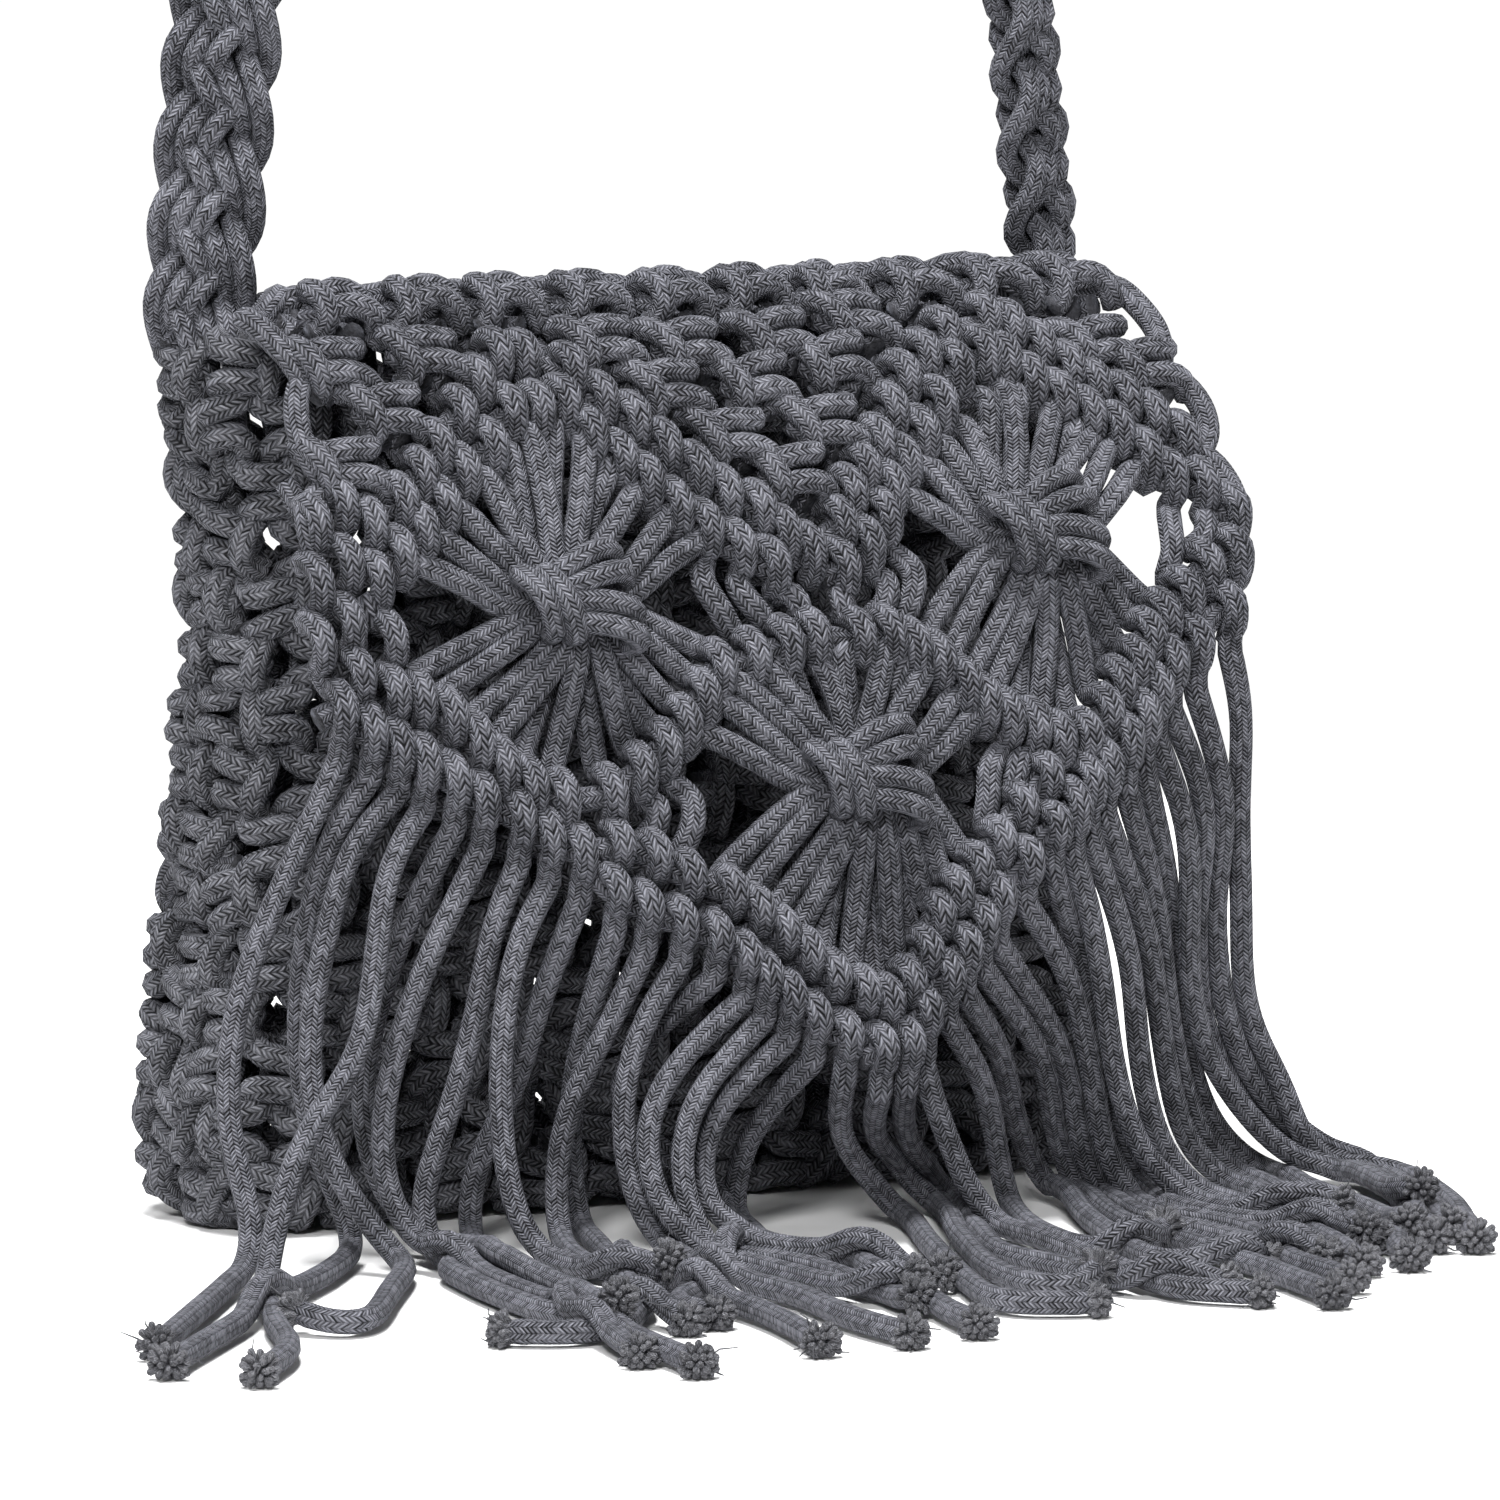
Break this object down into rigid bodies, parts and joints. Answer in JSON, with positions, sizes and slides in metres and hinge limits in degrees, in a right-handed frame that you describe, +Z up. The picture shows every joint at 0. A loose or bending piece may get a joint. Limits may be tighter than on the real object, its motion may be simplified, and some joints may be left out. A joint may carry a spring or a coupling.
{
  "type": "knotted cord shoulder bag with a fringed flap",
  "caption": "Soft macrame shoulder bag: knotted net body, pointed fringed flap with tied flowers and a flat braided shoulder strap.",
  "frame": {"origin": "underside of the top of the strap's arch, where a hook, hand or shoulder holds the bag", "axes": "+Z up along the hanging bag, +X to the bag's right seen from its front, -Y out of the flap's front"},
  "size_m": [0.3804, 0.2824, 0.7573],
  "materials": {
    "net": "knotted net of dyed charcoal cotton cord, matt, slightly fuzzy",
    "cord": "herringbone braided cotton cord, dyed charcoal grey, matt, slightly fuzzy"
  },
  "bodies": {
    "root": {"front_panel": "net", "back_panel": "net", "left_gusset": "net", "right_gusset": "net", "base": "net", "flap": "cord", "flower_knot_left": "cord", "flower_knot_right": "cord", "flower_knot_low": "cord", "fringe_left": "cord", "fringe_right": "cord", "strap": "cord"}
  },
  "joints": []
}
